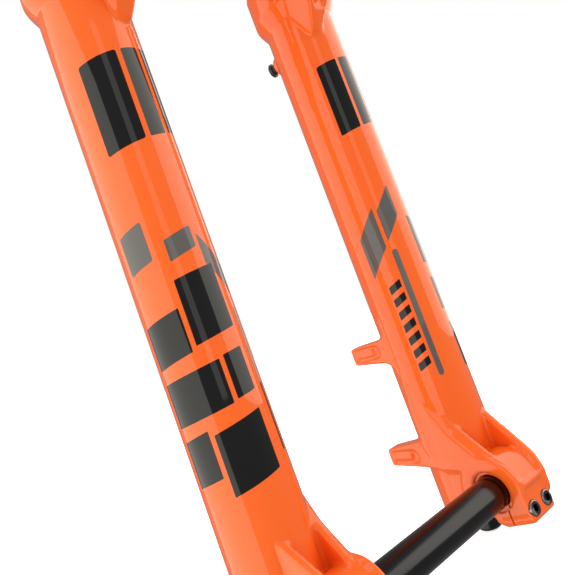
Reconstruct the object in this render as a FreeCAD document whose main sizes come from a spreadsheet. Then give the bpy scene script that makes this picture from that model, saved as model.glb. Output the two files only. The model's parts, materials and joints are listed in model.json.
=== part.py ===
"""Dual-crown downhill suspension fork, as a parametric document of separate pieces.

Frame: the origin is the axle's centre, midway between the dropouts. +X points to the front of the bike,
+Y to its left, and +Z up along the legs. Lengths are millimetres. The left leg holds the air spring and
the brake posts, the right leg holds the damper.
"""
import FreeCAD, Part

import math
import os

import Sketcher
from FreeCAD import Placement, Rotation, Vector

DOC = FreeCAD.newDocument("suspension_fork")
SHEET = DOC.addObject("Spreadsheet::Sheet", "Dimensions")

DRIVING = {
    # whole fork
    "leg_half_spacing": 78.0,
    "axle_lead": 32.0,
    "fork_offset": 52.0,
    "travel": 203.0,
    "hub_half_width": 55.0,
    "axle_radius": 10.0,
    "axle_bore": 7.0,
    "axle_clearance": 0.04,
    # lower casting
    "casting_radius": 23.75,
    "casting_bore": 21.6,
    "casting_lower_bore": 20.7,
    "foot_level": -22.0,
    "foot_floor": -13.5,
    "collar_base": 337.0,
    "collar_top": 362.0,
    "collar_radius": 28.5,
    "seal_seat_radius": 24.6,
    "post_spacing": 74.2,
    "lower_post_level": 23.3,
    "post_face": -76.0,
    "post_lateral": 60.0,
    # stanchions
    "stanchion_radius": 20.0,
    "stanchion_bore": 17.2,
    "stanchion_foot": 196.0,
    "stanchion_top": 752.0,
    "sliding_clearance": 0.05,
    # crowns and steerer
    "lower_crown_base": 578.0,
    "lower_crown_height": 26.0,
    "lower_clamp_height": 32.0,
    "upper_crown_base": 722.0,
    "upper_crown_height": 22.0,
    "clamp_radius": 26.5,
    "steerer_radius": 14.3,
    "steerer_bore": 11.7,
    # damper and air spring
    "shaft_radius": 5.0,
    "damper_tube_radius": 15.5,
    "damper_tube_bore": 14.0,
    "rod_radius": 2.5,
    "foot_nut_radius": 8.5,
    "foot_nut_base": -34.5,
}


class Size:
    """A length that carries its value and the expression that binds it to the sheet."""

    def __init__(self, value, text):
        self.value = value
        self.text = text

    @staticmethod
    def of(other):
        return other if isinstance(other, Size) else Size(float(other), repr(float(other)))

    def __add__(self, other):
        other = Size.of(other)
        return Size(self.value + other.value, "(" + self.text + " + " + other.text + ")")

    def __sub__(self, other):
        other = Size.of(other)
        return Size(self.value - other.value, "(" + self.text + " - " + other.text + ")")

    def __mul__(self, other):
        other = Size.of(other)
        return Size(self.value * other.value, "(" + self.text + " * " + other.text + ")")

    __radd__ = __add__
    __rmul__ = __mul__

    def __rsub__(self, other):
        return Size.of(other) - self

    def __neg__(self):
        return self * -1


def fill_sheet():
    """Writes the driving dimensions as cells with aliases and returns them as sizes."""
    sizes = {}
    for row, (alias, number) in enumerate(DRIVING.items(), start=1):
        SHEET.set("A%d" % row, alias.replace("_", " "))
        SHEET.set("B%d" % row, str(number))
        SHEET.setAlias("B%d" % row, alias)
        sizes[alias] = Size(number, "Dimensions." + alias)
    DOC.recompute()
    return sizes


D = fill_sheet()
LEG_X = -D["axle_lead"]
STEERER_X = -D["fork_offset"]
SIDES = {"left": 1, "right": -1}
PIECES = []


# ---------------------------------------------------------------- helpers


def place(feature, x, y, z=0.0):
    """Binds a feature's position to the sheet."""
    for axis, size in zip("xyz", (x, y, z)):
        feature.setExpression("Placement.Base." + axis, Size.of(size).text)
    return feature


def leg_y(side):
    return D["leg_half_spacing"] * SIDES[side]


def pin_point(sketch, edge, u, v):
    """Fixes the start of a sketch edge at (u, v), both bound to the sheet."""
    for kind, size, axis in (("DistanceX", Size.of(u), -2), ("DistanceY", Size.of(v), -1)):
        if abs(size.value) < 1e-9:
            sketch.addConstraint(Sketcher.Constraint("PointOnObject", edge, 1, axis))
            continue
        index = sketch.addConstraint(Sketcher.Constraint(kind, -1, 1, edge, 1, size.value))
        sketch.setExpression("Constraints[%d]" % index, size.text)


def outline_sketch(body, label, role, outline):
    """A closed sketch of straight edges on one of the body's origin planes."""
    plane = [p for p in body.Origin.OriginFeatures if p.Role == role][0]
    sketch = body.newObject("Sketcher::SketchObject", label)
    sketch.AttachmentSupport = [(plane, "")]
    sketch.MapMode = "FlatFace"
    corners = [(Size.of(u), Size.of(v)) for u, v in outline]
    for (u0, v0), (u1, v1) in zip(corners, corners[1:] + corners[:1]):
        start = Vector(u0.value, v0.value, 0)
        end = Vector(u1.value, v1.value, 0)
        sketch.addGeometry(Part.LineSegment(start, end), False)
    count = len(corners)
    for edge in range(count):
        sketch.addConstraint(Sketcher.Constraint("Coincident", edge, 2, (edge + 1) % count, 1))
    for edge, (u, v) in enumerate(corners):
        pin_point(sketch, edge, u, v)
    return sketch


def new_body(label, x, y, z=0.0):
    body = DOC.addObject("PartDesign::Body", label)
    body.Label = label
    place(body, x, y, z)
    return body


def turned(label, outline, x, y, chamfer=None):
    """A piece turned about a vertical axis at (x, y); the outline is (radius, height) corners."""
    body = new_body(label, x, y)
    sketch = outline_sketch(body, label + "_section", "XZ_Plane", outline)
    turn = body.newObject("PartDesign::Revolution", label + "_turn")
    turn.Profile = sketch
    turn.ReferenceAxis = (sketch, ["V_Axis"])
    turn.Angle = 360.0
    DOC.recompute()
    if chamfer:
        edges = round_edges(turn.Shape)
        bevel = body.newObject("PartDesign::Chamfer", label + "_chamfer")
        bevel.Base = (turn, edges)
        bevel.Size = chamfer
        DOC.recompute()
    PIECES.append(body)
    return body


def round_edges(shape):
    """The names of a turned solid's outermost circular edges."""
    circles = {}
    for number, edge in enumerate(shape.Edges, start=1):
        if edge.Closed and isinstance(edge.Curve, Part.Circle):
            circles["Edge%d" % number] = edge.Curve.Radius
    largest = max(circles.values())
    return [name for name, radius in circles.items() if radius > largest - 1e-6]


def ring(label, inner, outer, base, top, x, y, chamfer=None):
    return turned(label, [(inner, base), (outer, base), (outer, top), (inner, top)], x, y, chamfer)


def disc(label, radius, base, top, x, y, chamfer=None):
    return turned(label, [(0, base), (radius, base), (radius, top), (0, top)], x, y, chamfer)


def pocket(body, label, sketch, depth, both=False):
    """Cuts a sketch through the body and proves that it removed material."""
    before = body.Shape.Volume
    cut = body.newObject("PartDesign::Pocket", label)
    cut.Profile = sketch
    cut.Length = depth
    cut.Midplane = both
    DOC.recompute()
    if body.Shape.Volume > before - 1e-3:
        cut.Reversed = True
        DOC.recompute()
    if body.Shape.Volume > before - 1e-3:
        raise RuntimeError(label + " removed nothing")
    return cut


def flute(body, label, radius, bite, count, depth, level):
    """Scallops a knob's rim: one round pocket, repeated around the axis."""
    plane = [p for p in body.Origin.OriginFeatures if p.Role == "XY_Plane"][0]
    sketch = body.newObject("Sketcher::SketchObject", label + "_circle")
    sketch.AttachmentSupport = [(plane, "")]
    sketch.MapMode = "FlatFace"
    sketch.AttachmentOffset = Placement(Vector(0, 0, level), Rotation())
    sketch.addGeometry(Part.Circle(Vector(radius, 0, 0), Vector(0, 0, 1), bite), False)
    cut = pocket(body, label + "_flute", sketch, depth, both=True)
    pattern = body.newObject("PartDesign::PolarPattern", label + "_flutes")
    pattern.Originals = [cut]
    pattern.Axis = (sketch, ["N_Axis"])
    pattern.Angle = 360.0
    pattern.Occurrences = count
    body.Tip = pattern
    DOC.recompute()


def shaped(label, shape):
    """A piece whose shape is worked out here rather than by a feature."""
    feature = DOC.addObject("Part::Feature", label)
    feature.Label = label
    feature.Shape = shape if shape.Placement.isIdentity() else Part.makeCompound([shape])
    feature.Placement = Placement()
    PIECES.append(feature)
    return feature


def at(plane, u, v, w):
    """A point given in a plane's own two directions and its normal."""
    return {"XY": Vector(u, v, w), "XZ": Vector(u, w, v), "YZ": Vector(w, u, v)}[plane]


def rounded_outline(corners, plane, offset):
    """A closed wire through (u, v, radius) corners, each rounded by its own arc."""
    arcs = []
    count = len(corners)
    for index, (u, v, radius) in enumerate(corners):
        corner = Vector(u, v, 0)
        before = Vector(corners[index - 1][0], corners[index - 1][1], 0) - corner
        after = Vector(corners[(index + 1) % count][0], corners[(index + 1) % count][1], 0) - corner
        if radius <= 0:
            arcs.append((corner, corner, corner))
            continue
        half = before.getAngle(after) / 2
        reach = radius / math.tan(half)
        bisector = (before.normalize() + after.normalize()).normalize()
        start = corner + before * reach
        end = corner + after * reach
        centre = corner + bisector * (radius / math.sin(half))
        arcs.append((start, centre - bisector * radius, end))
    edges = []
    for index, (start, middle, end) in enumerate(arcs):
        side = Vector(*corners[(index + 1) % count][:2]) - Vector(*corners[index][:2])
        if side.dot(arcs[(index + 1) % count][0] - end) < -1e-6:
            raise ValueError("the arcs overlap after corner %s" % (corners[index],))
        if start.distanceToPoint(end) > 1e-6:
            curve = Part.Arc(*[at(plane, p.x, p.y, offset) for p in (start, middle, end)])
            edges.append(curve.toShape())
        following = arcs[(index + 1) % count][0]
        if end.distanceToPoint(following) > 1e-6:
            edges.append(Part.makeLine(at(plane, end.x, end.y, offset),
                                       at(plane, following.x, following.y, offset)))
    return Part.Wire(Part.__sortEdges__(edges))


def prism(corners, plane, start, end):
    """A rounded outline extruded along its plane's normal, from start to end."""
    face = Part.Face(rounded_outline(corners, plane, start))
    return face.extrude(at(plane, 0, 0, end - start))


def cylinder(radius, base, axis, length):
    return Part.makeCylinder(radius, length, base, axis)


def eased(shape, radius, chosen):
    """Rounds the edges that the test chooses."""
    edges = [edge for edge in shape.Edges if chosen(edge)]
    return shape.makeFillet(radius, edges)


def mirrored(shape):
    """The same shape on the other side of the wheel."""
    return shape.mirror(Vector(0, 0, 0), Vector(0, 1, 0))


def values(*aliases):
    return [D[alias].value for alias in aliases]


def socket_bolt(radius, length, head_radius, head_height, key):
    """A cap screw along +Z: its head's underside is at zero and its shank goes down."""
    head = cylinder(head_radius, Vector(0, 0, 0), Vector(0, 0, 1), head_height)
    head = head.makeChamfer(0.5, [head.Edges[0]])
    shank = cylinder(radius, Vector(0, 0, -length), Vector(0, 0, 1), length)
    hexagon = Part.makePolygon([
        Vector(key / math.sqrt(3) * math.cos(math.radians(60 * k)),
               key / math.sqrt(3) * math.sin(math.radians(60 * k)), head_height * 0.35)
        for k in range(7)])
    socket = Part.Face(hexagon).extrude(Vector(0, 0, head_height))
    return head.fuse(shank).cut(socket).removeSplitter()


def bolt_at(bolt, position, direction):
    """A copy of a bolt with its head's underside at position and its head towards direction."""
    copy = bolt.copy()
    copy.Placement = Placement(position, Rotation(Vector(0, 0, 1), direction))
    return copy


# ---------------------------------------------------------------- lower casting

PINCH_LEVEL = -10.2
PINCH_FACE = 21.6
PINCH_LATERALS = (57.6, 71.2)
PINCH_TILT = math.radians(10)
PINCH_SLIT = 7.5
BARREL_RADIUS = 19.8
BARREL_RIM = 21.0
HUB_BOSS_RADIUS = 14.2
BARREL_END = 77.0
PINCH_SINK = 3.2
WALL_PROUD = 2.0
POST_PLATE_FACE = 54.7
COUNTERBORE_RADIUS = 4.6
SCREW_CLEARANCE = 2.6
POST_THREAD_RADIUS = 2.5
BLEED_LEVEL = 313.0
BLEED_TURN = 22.0
FENDER_LATERAL = 22.0
FENDER_LEVEL = 399.5
FENDER_THREAD_RADIUS = 2.1


def leg_tube():
    """The left leg's outer barrel with its collar for the seals."""
    radius, collar, foot, base, top = values(
        "casting_radius", "collar_radius", "foot_level", "collar_base", "collar_top")
    profile = [
        (0, foot), (radius - 3.5, foot), (radius, foot + 5.5), (radius, base - 9),
        (collar, base), (collar, top - 2), (collar - 2, top), (0, top)]
    points = [Vector(r, 0, z) for r, z in profile]
    face = Part.Face(Part.makePolygon(points + points[:1]))
    tube = face.revolve(Vector(0, 0, 0), Vector(0, 0, 1), 360)
    tube.translate(Vector(LEG_X.value, D["leg_half_spacing"].value, 0))
    return tube


def leg_hollow():
    """The space inside the left leg: seal seat, bushing bore and the closer bore by the axle."""
    bore, lower, seat = values("casting_bore", "casting_lower_bore", "seal_seat_radius")
    floor, top = values("foot_floor", "collar_top")
    profile = [
        (0, floor), (lower, floor), (lower, 38), (bore, 41), (bore, 339), (seat, 339),
        (seat, top + 5), (0, top + 5)]
    points = [Vector(r, 0, z) for r, z in profile]
    face = Part.Face(Part.makePolygon(points + points[:1]))
    hollow = face.revolve(Vector(0, 0, 0), Vector(0, 0, 1), 360)
    hollow.translate(Vector(LEG_X.value, D["leg_half_spacing"].value, 0))
    return hollow


def wall_face():
    """How far out the dropout's inner face lies; the hub seats are sunk into it."""
    return D["hub_half_width"].value - WALL_PROUD


def pinch_axis():
    """The pinch bolts lean, heads up and forward, to pass below the axle."""
    return Vector(math.cos(PINCH_TILT), 0, math.sin(PINCH_TILT))


def inner_wall():
    """The web on the wheel side, from the leg to the axle barrel, with a broad bevel down its front edge."""
    face = D["leg_half_spacing"].value - D["casting_radius"].value - 0.15
    back = [(-6, -6, 3), (-14, 11, 6), (-34, 12, 2), (-41, 30, 2), (-41, 56, 2)]
    broad = [(-32.5, 96, 1), (-22, 56, 30), (-13.5, 39, 14), (2, 22.5, 8), (12, 14, 2), (14, 2, 2)] + back
    narrow = [(-34, 94, 1), (-26.5, 53, 30), (-17.5, 36, 14), (-1.5, 19.5, 8), (8, 10, 2), (10, 0, 2)] + back
    web = prism(broad, "XZ", face + 4.5, face + 8.4)
    bevel = Part.makeLoft([rounded_outline(narrow, "XZ", face), rounded_outline(broad, "XZ", face + 4.5)],
                          True, True)
    return web.fuse(bevel)


def inner_rib():
    """The raised rib from the lower post to the hub boss; it rises out of the leg as it goes forward."""
    inside = wall_face()
    low = D["lower_post_level"].value
    outline = [(-47, low - 1.3, 2), (-18, 21, 8), (3, 18.4, 0), (3, 10, 0), (-13, 13, 4), (-32, 14.2, 8),
               (-47, low - 7.3, 2)]
    rib = prism(outline, "XZ", inside, inside + 6)
    slope = prism([(-50, 50, 0), (-50, inside + 1.9, 0), (-44, inside + 1.7, 0), (-22, inside, 0), (-22, 50, 0)],
                  "XY", 5, 30)
    boss = cylinder(HUB_BOSS_RADIUS, Vector(0, inside, 0), Vector(0, 1, 0), 6)
    return rib.cut(slope).fuse(boss)


def brake_posts():
    """The plate on the left leg that carries the two caliper posts."""
    face, lateral, low = values("post_face", "post_lateral", "lower_post_level")
    high = low + D["post_spacing"].value
    outline = [
        (-32, 130, 0), (-40.3, 118, 12), (-40.8, high + 7.2, 5), (face, high + 6.0, 1.5),
        (face, high - 6.3, 1.5), (-41, high - 9.8, 10), (-38.5, 62, 20), (-38.8, low + 11, 5),
        (face, low + 6.2, 1.5), (face, low - 5.8, 1.5), (-40, low - 8.0, 2), (-32, low - 9, 0)]
    return prism(outline, "XZ", POST_PLATE_FACE, lateral + 6.6)


def post_cuts():
    """The posts' threads, and the pockets in their inner faces with a round boss left inside."""
    face, lateral, low = values("post_face", "post_lateral", "lower_post_level")
    cuts = []
    for level in (low, low + D["post_spacing"].value):
        end = Vector(face - 1, lateral, level)
        cuts.append(cylinder(POST_THREAD_RADIUS, end, Vector(1, 0, 0), 19))
        slot = [(face + 3.2, level - 4.6, 2), (-48.5, level - 4.6, 4.5), (-48.5, level + 4.6, 4.5),
                (face + 3.2, level + 4.6, 2)]
        boss = cylinder(5.0, Vector(face + 2, lateral + 0.2, level), Vector(1, 0, 0), 19)
        recess = prism(slot, "XZ", POST_PLATE_FACE - 1, lateral - 2.8)
        cuts.append(recess.cut(boss))
    return cuts


def pinch_block():
    """The split block below the axle barrel, which the two pinch bolts close."""
    inside = wall_face()
    lean = math.tan(PINCH_TILT)
    top, low = 3.8, -17.4
    outline = [
        (-5, -8, 0), (-4.5, -19, 3), (2, -21.4, 3), (PINCH_FACE + (PINCH_LEVEL - low) * lean, low, 2.5),
        (PINCH_FACE + (PINCH_LEVEL - top) * lean, top, 1.0), (14, 5.0, 0), (0, 0, 0)]
    block = prism(outline, "XZ", inside, BARREL_END)
    block = eased(block, 1.6, lambda e: e.BoundBox.YLength < 0.01 and e.BoundBox.XMax > 10)
    lip = Vector(PINCH_FACE + (PINCH_LEVEL - top) * lean + 0.5, inside + 3, top - 0.6)
    return block.fuse(cylinder(2.3, lip, Vector(0, 1, 0), BARREL_END - inside - 4))


def outer_wall():
    """The gusset wall on the outer side, which splays out from the barrel to the leg."""
    outline = [
        (-26, 43.0, 0), (-12, 43.0, 0), (11.5, 20.9, 16), (19.0, 13.2, 8), (22.0, 4.0, 6),
        (21.5, -7, 6), (16, -14, 6), (-10, -14, 0), (-26, 4, 0)]
    wall = prism(outline, "XZ", BARREL_END - 2.5, BARREL_END + 2.8)
    hinge = Vector(PINCH_FACE, BARREL_END, 0)
    wall.rotate(hinge, Vector(0, 0, 1), -13)
    return wall


def axle_barrel():
    """The round barrel between the two walls with its inner rim, and the web that ties it to the leg."""
    inside = wall_face()
    tangent = D["leg_half_spacing"].value - D["casting_radius"].value
    barrel = cylinder(BARREL_RADIUS, Vector(0, inside, 0), Vector(0, 1, 0), BARREL_END - inside)
    rim = cylinder(BARREL_RIM, Vector(0, inside, 0), Vector(0, 1, 0), 4.2)
    rim = rim.makeFillet(1.4, [edge for edge in rim.Edges if edge.Closed and isinstance(edge.Curve, Part.Circle)])
    web = prism([(LEG_X.value, 16, 0), (-11, 16, 6), (6, 15, 0), (6, -13, 0), (-14, -15, 5),
                 (LEG_X.value, -15, 0)], "XZ", tangent, BARREL_END + 3)
    keep = prism([(-30, 24, 0), (30, 24, 0), (30, 0, 0), (8, -15, 0), (-30, -15, 0)], "XZ", 50, 90)
    return barrel.fuse(rim).common(keep).fuse(web)


def bleed_direction():
    angle = math.radians(180 + BLEED_TURN)
    return Vector(math.cos(angle), math.sin(angle), 0)


def bleed_boss():
    axis = Vector(LEG_X.value, D["leg_half_spacing"].value, BLEED_LEVEL)
    boss = cylinder(6.2, axis + bleed_direction() * 20.5, bleed_direction(), 6.5)
    return boss.makeFillet(1.0, [boss.Edges[0]])


def left_leg():
    """Every solid of the left leg, before its bores."""
    leg = leg_tube()
    for solid in (inner_wall(), inner_rib(), outer_wall(), axle_barrel(), pinch_block(), bleed_boss()):
        leg = leg.fuse(solid)
    return leg


def leg_cuts():
    """The left leg's bores, slit and screw holes."""
    radius, clearance, seat, spacing = values(
        "axle_radius", "axle_clearance", "hub_half_width", "leg_half_spacing")
    inside = wall_face()
    shaft = D["shaft_radius"].value
    axis = Vector(LEG_X.value, spacing, BLEED_LEVEL)
    cuts = [
        leg_hollow(),
        cylinder(radius + clearance, Vector(0, inside - 5, 0), Vector(0, 1, 0), 60),
        cylinder(12.5, Vector(0, inside - 5, 0), Vector(0, 1, 0), seat - inside + 5),
        cylinder(shaft, Vector(LEG_X.value, spacing, -30), Vector(0, 0, 1), 30),
        cylinder(3.6, axis + bleed_direction() * 15, bleed_direction(), 20),
        Part.makeBox(1.2, 40, 20, Vector(PINCH_SLIT - 0.6, inside - 5, -26)),
    ]
    for lateral in PINCH_LATERALS:
        face = Vector(PINCH_FACE, lateral, PINCH_LEVEL)
        cuts.append(cylinder(SCREW_CLEARANCE, face - pinch_axis() * 22, pinch_axis(), 30))
        cuts.append(cylinder(COUNTERBORE_RADIUS, face - pinch_axis() * PINCH_SINK, pinch_axis(), 10))
    return cuts


ARCH_FRONT = 22.0
ARCH_REAR = -3.5


def arch_rail(grow):
    """Half of the arch's outline as seen from the front, grown outwards by a margin."""
    return [
        (80 + grow, 345, 8), (72 + grow * 0.5, 309 - grow, 3 + grow / 2), (64 - grow * 0.5, 309 - grow, 3 + grow / 2),
        (51.5 - grow, 350, 30), (36, 386 - grow, 24), (0, 394 - grow, 0),
        (0, 411 + grow, 0), (42, 407 + grow, 34), (67 + grow * 0.6, 379 + grow * 0.6, 18),
        (79 + grow, 362, 4)]


def arch_shape():
    """The hollow-fronted arch, joined to the front of both legs."""
    profile = [
        (-20, 296, 0), (-8.5, 309, 5), (12, 336, 14), (ARCH_FRONT, 362, 30), (ARCH_FRONT - 3, 420, 0),
        (ARCH_REAR, 420, 0), (ARCH_REAR, 361, 0), (-20, 361, 0)]
    side_view = prism(profile, "XZ", -100, 100)
    half = prism(arch_rail(0), "YZ", -20, 40)
    arch = half.fuse(mirrored(half)).removeSplitter().common(side_view)
    inset = prism([(-1.5, 250, 0), (60, 250, 0), (60, 430, 0), (6, 430, 0), (6, 372, 12), (1, 350, 20)],
                  "XZ", -100, 100)
    channel = prism(arch_rail(-3.6), "YZ", -20, 40)
    channel = channel.common(inset)
    keep_rib = Part.makeBox(80, 9, 60, Vector(-20, -4.5, 360))
    channel = channel.cut(keep_rib)
    return arch.cut(channel).cut(mirrored(channel))


def fender_cuts():
    cuts = []
    for lateral in (-FENDER_LATERAL, FENDER_LATERAL):
        start = Vector(ARCH_REAR - 1, lateral, FENDER_LEVEL)
        cuts.append(cylinder(FENDER_THREAD_RADIUS, start, Vector(1, 0, 0), 9))
    return cuts


def lower_casting():
    leg = left_leg()
    casting = leg.fuse(mirrored(leg)).fuse(brake_posts()).fuse(arch_shape())
    cuts = leg_cuts()
    cuts += [mirrored(cut) for cut in leg_cuts()]
    cuts += post_cuts() + fender_cuts()
    for cut in cuts:
        casting = casting.cut(cut)
    casting = casting.removeSplitter()
    if len(casting.Solids) != 1:
        raise RuntimeError("the casting came apart")
    return shaped("lower_casting", casting.Solids[0])


# ---------------------------------------------------------------- wheel end


def axle():
    """The hollow 20 mm axle, with a hexagon socket at its right end."""
    radius, bore, half = values("axle_radius", "axle_bore", "hub_half_width")
    left_end, right_end = half + 23.0, half + 25.0
    tube = cylinder(radius, Vector(0, -right_end, 0), Vector(0, 1, 0), left_end + right_end)
    tube = tube.makeChamfer(0.8, tube.Edges[0:1] + tube.Edges[2:3])
    hollow = cylinder(bore, Vector(0, -right_end + 14, 0), Vector(0, 1, 0), 200)
    key = 3.5
    hexagon = Part.makePolygon([
        Vector(key * math.cos(math.radians(60 * k)), -right_end - 1, key * math.sin(math.radians(60 * k)))
        for k in range(7)])
    socket = Part.Face(hexagon).extrude(Vector(0, 30, 0))
    return shaped("axle", tube.cut(hollow).cut(socket))


def axle_pinch_bolts():
    """Four M5 screws, two in each dropout, with their heads on the front faces."""
    bolt = socket_bolt(2.5, 18.5, 4.3, 4.2, 4.0)
    bolts = []
    for sign in (1, -1):
        for lateral in PINCH_LATERALS:
            face = Vector(PINCH_FACE, sign * lateral, PINCH_LEVEL)
            bolts.append(bolt_at(bolt, face - pinch_axis() * PINCH_SINK, pinch_axis()))
    return shaped("axle_pinch_bolts", Part.makeCompound(bolts))


def foot_hardware():
    """The nuts and crush washers that hold both shafts in the casting's feet."""
    foot, radius, base = D["foot_level"], D["foot_nut_radius"], D["foot_nut_base"]
    shaft = D["shaft_radius"]
    washers = []
    for side in SIDES:
        ring_blank = cylinder(radius.value + 0.8, Vector(LEG_X.value, leg_y(side).value, foot.value - 1.2),
                              Vector(0, 0, 1), 1.2)
        hole = cylinder(shaft.value, Vector(LEG_X.value, leg_y(side).value, foot.value - 3),
                        Vector(0, 0, 1), 6)
        washers.append(ring_blank.cut(hole))
    shaped("crush_washers", Part.makeCompound(washers))
    turned("air_foot_nut", [
        (0, base), (radius - 1.6, base), (radius, base + 1.8), (radius, foot - 1.2),
        (shaft, foot - 1.2), (shaft, foot - 6), (0, foot - 6)], LEG_X, leg_y("left"))
    turned("damper_foot_nut", [
        (D["rod_radius"] + 0.3, foot - 5.2), (radius, foot - 5.2), (radius, foot - 1.2),
        (shaft, foot - 1.2), (shaft, foot - 3), (D["rod_radius"] + 0.3, foot - 3)],
        LEG_X, leg_y("right"))


# ---------------------------------------------------------------- seals and bushings


def seals(side):
    y = leg_y(side)
    slide = D["stanchion_radius"] + D["sliding_clearance"]
    seat, top = D["seal_seat_radius"], D["collar_top"]
    turned("wiper_seal_" + side, [
        (slide, top - 11), (seat, top - 11), (seat, top), (seat + 2.2, top), (seat + 2.4, top + 3),
        (slide + 3.4, top + 4.4), (slide + 1.9, top + 5.2), (slide + 1.9, top + 6.6),
        (slide + 1.3, top + 8), (slide, top + 8)], LEG_X, y)
    spring = DOC.addObject("Part::Torus", "garter_spring_" + side)
    spring.Label = "garter_spring_" + side
    spring.setExpression("Radius1", (slide + 2.6).text)
    spring.Radius2 = 0.65
    place(spring, LEG_X, y, top + 5.9)
    PIECES.append(spring)
    ring("foam_ring_" + side, D["stanchion_radius"] + 0.35, seat, 340.0, top - 11.5, LEG_X, y)
    ring("upper_bushing_" + side, slide, D["casting_bore"], 317.5, 338.0, LEG_X, y)
    ring("lower_bushing_" + side, slide, D["casting_bore"], 198.0, 220.0, LEG_X, y)


def bleed_button(side):
    """A mushroom-headed push button in the leg's rear boss, made about its own axis."""
    stem = D["casting_radius"] - 0.6
    body = turned("bleed_button_" + side, [
        (0, stem), (3.5, stem), (3.5, stem + 6), (4.9, stem + 6), (4.9, stem + 7.6),
        (3.9, stem + 8.6), (0, stem + 8.6)], LEG_X, leg_y(side))
    turn = (180 + BLEED_TURN) * SIDES[side]
    lift = Rotation(Vector(0, 0, 1), turn) * Rotation(Vector(0, 1, 0), 90)
    body.Placement = Placement(Vector(LEG_X.value, leg_y(side).value, BLEED_LEVEL), lift)
    place(body, LEG_X, leg_y(side), BLEED_LEVEL)
    return body


# ---------------------------------------------------------------- stanchions


def stanchion(side):
    return ring("stanchion_" + side, D["stanchion_bore"], D["stanchion_radius"],
                D["stanchion_foot"], D["stanchion_top"], LEG_X, leg_y(side))


def frame_bumper(side):
    grip = D["stanchion_radius"]
    base, height = 636.0, 34.0
    return turned("frame_bumper_" + side, [
        (grip, base), (grip + 3, base), (grip + 7.5, base + 5), (grip + 8.5, base + 12),
        (grip + 8.5, base + height - 12), (grip + 7.5, base + height - 5), (grip + 3, base + height),
        (grip, base + height)], LEG_X, leg_y(side))


# ---------------------------------------------------------------- air spring, left leg


def air_spring():
    x, y = LEG_X, leg_y("left")
    bore, shaft, foot = D["stanchion_bore"], D["shaft_radius"], D["stanchion_foot"]
    slide = shaft + D["sliding_clearance"]
    top = D["stanchion_top"]
    ring("air_seal_clip", bore - 2.2, bore, foot + 1.2, foot + 3, x, y)
    ring("air_seal_head", slide, bore, foot + 3, foot + 21, x, y)
    ring("air_topout_bumper", shaft, shaft + 5, foot + 22, foot + 42, x, y)
    turned("air_shaft", [
        (0, D["foot_level"] - 6), (shaft, D["foot_level"] - 6), (shaft, foot + 56.5),
        (0, foot + 56.5)], x, y)
    piston = bore - D["sliding_clearance"]
    turned("air_piston", [
        (shaft, foot + 42), (piston, foot + 42), (piston, foot + 47), (piston - 2.4, foot + 47),
        (piston - 2.4, foot + 50.2), (piston, foot + 50.2), (piston, foot + 55), (shaft, foot + 55)],
        x, y)
    ring("air_piston_seal", piston - 2.4, piston + 0.02, foot + 47, foot + 50.2, x, y)
    ring("air_bottom_bumper", shaft + 0.2, shaft + 8, D["foot_floor"], D["foot_floor"] + 6.5, x, y)
    valve = 4.0
    turned("air_top_cap", [
        (valve, top - 30), (bore, top - 30), (bore, top), (D["stanchion_radius"] + 0.6, top),
        (D["stanchion_radius"] + 0.6, top + 4.2), (D["stanchion_radius"] - 1, top + 5.8),
        (11.5, top + 5.8), (11.5, top + 2.4), (valve, top + 2.4)], x, y)
    spacer_height = 12.0
    spacers = []
    for number in range(3):
        level = top.value - 30 - spacer_height * (number + 1)
        blank = cylinder(14.5, Vector(x.value, y.value, level), Vector(0, 0, 1), spacer_height - 0.4)
        blank = blank.makeChamfer(0.8, [edge for edge in blank.Edges if edge.Closed])
        passage = cylinder(valve, Vector(x.value, y.value, level - 1), Vector(0, 0, 1), spacer_height + 2)
        spacers.append(blank.cut(passage))
    shaped("volume_spacers", Part.makeCompound(spacers))
    turned("air_valve", [
        (1.3, top - 26), (valve, top - 26), (valve, top + 13), (valve - 0.6, top + 14),
        (1.3, top + 14)], x, y)
    cap = turned("valve_cap", [
        (valve, top + 3), (8.6, top + 3), (8.6, top + 13), (7.4, top + 16), (0, top + 16),
        (0, top + 14.4), (valve, top + 14.4)], x, y)
    flute(cap, "valve_cap", 10.2, 2.2, 10, 60, top.value + 8)


# ---------------------------------------------------------------- damper, right leg

IFP_LEVEL = 664.0
IFP_HEIGHT = 12.0
SPRING_TOP = 716.0
SPRING_WIRE = 0.8
SPRING_TURNS = 5


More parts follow.
